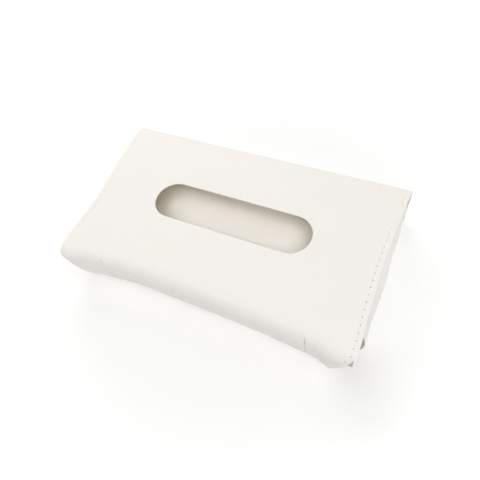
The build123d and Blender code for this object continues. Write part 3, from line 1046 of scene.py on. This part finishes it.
def seam_point(side, x, t):
    """Point of the top or a corner by x and distance t from LEVEL_Y."""
    if t <= 0:
        y = LEVEL_Y - t
        half = end_half(side, y, 0.0)
        out = (abs(x) - STRAIGHT) * (HALF - STRAIGHT) / (half - STRAIGHT)
        return run_point(side * (STRAIGHT + out), top_v(y))
    a = x
    for _ in range(12):
        p, n = front_point(a, t)
        a = a + (x - p[0])
    return p, n


def top_runs(side):
    line, fine = SEAM_LINES[side]

    def place(s):
        p, n = seam_point(side, *(np.interp(s, fine, line[:, k]) for k in (0, 1)))
        return p - n * SEAM_PULL, n

    return stitch_runs(place, 9, 0.0, 0.0, fine[-1])


def base_runs(side):
    def place(s):
        return (side * (BASE_HALF - SEAM_INSET), s, BASE_GROOVE), (0.0, 0.0, -1.0)

    return stitch_runs(place, 7, BASE_SEAM_START, BASE_SEAM_START, BACK_FOLD_Y)


def back_runs(side):
    def place(s):
        half = back_end(side, s) - SEAM_INSET
        return (side * half, CASE_BACK - 0.1, s), (0.0, 1.0, 0.0)

    return stitch_runs(place, 7, BASE_SEAM_START, FOLD, HEIGHT - FOLD)


# The pieces
outer_sheet()
flap_pieces = (flap_skin(), flap_lining())
cols = np.array(span(FLAP_LEFT + 1.5, FLAP_RIGHT - 1.5, 4.0))
f = Front(cols)
t = np.array([f.face_start + f.face * k for k in (0.04, 0.34, 0.67, 0.97)])
face_board("flap_board_skin", "flap_board", "closing_flap", *front_point(cols, t, x=cols))
cols = span(-106.2, 106.2, 4.0)
rows = [0.12 + 0.88 * k for k in (0.0, 0.34, 0.67, 1.0)]
face_board("wall_board_skin", "front_wall_board", "case", *straight_run(cols, rows))
SIDES = ((-1, "left"), (1, "right"))
for side, word in SIDES:
    f = Front(side * MAGNET_X)
    p, n = front_point(side * MAGNET_X, f.face_start + f.face * 0.72)
    disc(word + "_flap_magnet_disc", "closing_flap", word + "_flap_magnet", p, n)
    p, n = run_point(side * MAGNET_X, 0.38)
    disc(word + "_wall_magnet_disc", "case", word + "_wall_magnet", p, n)
top_layer("top_lining_skin", "top_lining", "lining", wall_cloth, LEATHER + BOARD, LINING)
near, thick = LEATHER + PLAY, BOARD - 2 * PLAY
top_layer("top_board_skin", "top_board", "board", board, near, thick, margin=5.0)
panel_lining("base_lining_skin", "bottom_lining", lining, -53.0, 63.0, 4.0)
panel_lining("back_lining_skin", "back_lining", wall_cloth, 2.7, 37.3, 3.0)
wall_lining()
for side, word in SIDES:
    corner_lining(side, word)
    gusset(side, word)
    runs = top_runs(side)
    ends = [run for run in runs if run[4][0][1] > SPLIT_Y]
    corners = [run for run in runs if run[4][0][1] <= SPLIT_Y]
    seams = {"end": ends, "corner": corners, "base": base_runs(side), "back": back_runs(side)}
    for kind, runs in seams.items():
        stitches(f"{word}_{kind}_seam", runs, f"{word}_{kind}_stitching")

# Two boards show nowhere, so their CAD solids stay, with the board's material
for node in ("back_board", "bottom_board"):
    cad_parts[node].data.materials.clear()
    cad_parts[node].data.materials.append(board)

# Points of the flap at the hinge line and 5.5 mm below it; the flap's pieces get their transforms
# baked into their meshes
hinge = Front(80.0).hinge
start, end = (front_point(80.0, hinge + d)[0] * MM for d in (0.0, 5.5))
for obj in flap_pieces:
    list(start[1:])
    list(end[1:])
    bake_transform(obj)


# Floor, backdrop, light and camera
FLOOR_HALF = 4000.0
FLOOR_Z = -0.2


def white_material(name, glow, shade):
    """Pale surface that shows as white to the camera where nothing shades it."""
    n = Nodes(bpy.data.materials.new(name))
    tone = n.ramp(n.noise(3.0, 2.0), 0.3, grey(shade * 0.99), 0.7, grey(shade))
    diffuse = n.new("BsdfDiffuse", Color=tone)
    away = n.new("VectorMath", operation="LENGTH", Vector=n.place()).outputs["Value"]
    limits = {"From Min": 0.11, "From Max": 0.42, "To Min": glow, "To Max": 1.0}
    rise = n.new("MapRange", interpolation_type="SMOOTHSTEP", Value=away, **limits)
    emission = n.new("Emission", Color=grey(1.0), Strength=rise.outputs[0])
    add = n.new("AddShader")
    n.feed(add.inputs, (diffuse.outputs[0], emission.outputs[0]))
    return n.output(n.mix_shaders(n.seen(), diffuse, add))


corners = ((-1, -1), (1, -1), (1, 1), (-1, 1))
corners = [(x * FLOOR_HALF, y * FLOOR_HALF, FLOOR_Z) for x, y in corners]
object_from("floor", corners, [(0, 1, 2, 3)], [white_material("floor", 0.06, 0.93)])

world = bpy.data.worlds.new("studio")
bpy.context.scene.world = world
w = Nodes(world)
room = w.new("Background", Color=(1.0, 0.998, 0.994, 1), Strength=0.11)
white = w.new("Background", Color=grey(1.0), Strength=1.0)
w.output(w.mix_shaders(w.seen(), room, white), "World")

LAMPS = (  # name, place, aim, size and power
    ("key", (0.920, -1.200, 2.660), (0, 0, 0), 1.15, 50.0),
    ("overhead", (-0.10, 0.0, 1.20), (0, 0, 0), 0.8, 3.0),
    ("back", (-0.50, 0.55, 0.62), (0, 0, 0), 0.6, 2.3),
    ("fill", (1.35, 0.45, 0.50), (0, 0, 0.02), 0.8, 3.9),
    ("front", (-0.55, -0.30, 0.20), (0, -0.05, 0.02), 0.4, 0.38),
)
for name, place, aim, size, power in LAMPS:
    data = bpy.data.lights.new(name, "AREA")
    data.shape = "SQUARE"
    data.size = size
    data.energy = power
    data.color = (1.0, 0.997, 0.991)
    obj = in_scene(name, data)
    obj.location = place
    obj.rotation_mode = "QUATERNION"
    obj.rotation_quaternion = (Vector(aim) - Vector(place)).to_track_quat("-Z", "Y")

# The case is a pale box lit through its slot, so its inside needs the later bounces
bpy.context.scene.cycles.diffuse_bounces = 12

# The camera was fitted to the outline and the slot in the photograph
CAMERA_PLACE = Vector((0.12804, -0.14027, 0.30659))
CAMERA_TARGET = Vector((0.01639, -0.01136, 0.040))
CAMERA_ROLL = math.radians(18.694)
camera_data = bpy.data.cameras.new("camera")
camera_data.lens = 33.521
camera_data.sensor_width = 36.0
camera_data.sensor_fit = "HORIZONTAL"
camera_data.clip_start = 0.01
camera_data.clip_end = 50.0
camera = in_scene("camera", camera_data)
forward = (CAMERA_TARGET - CAMERA_PLACE).normalized()
right = forward.cross(Vector((0, 0, 1))).normalized()
up = right.cross(forward) * math.cos(CAMERA_ROLL) + right * math.sin(CAMERA_ROLL)
rotation = Matrix((forward.cross(up), up, -forward)).transposed()
camera.location = CAMERA_PLACE
camera.rotation_mode = "QUATERNION"
camera.rotation_quaternion = rotation.to_quaternion()
bpy.context.scene.camera = camera
bpy.context.scene.view_settings.view_transform = "Standard"
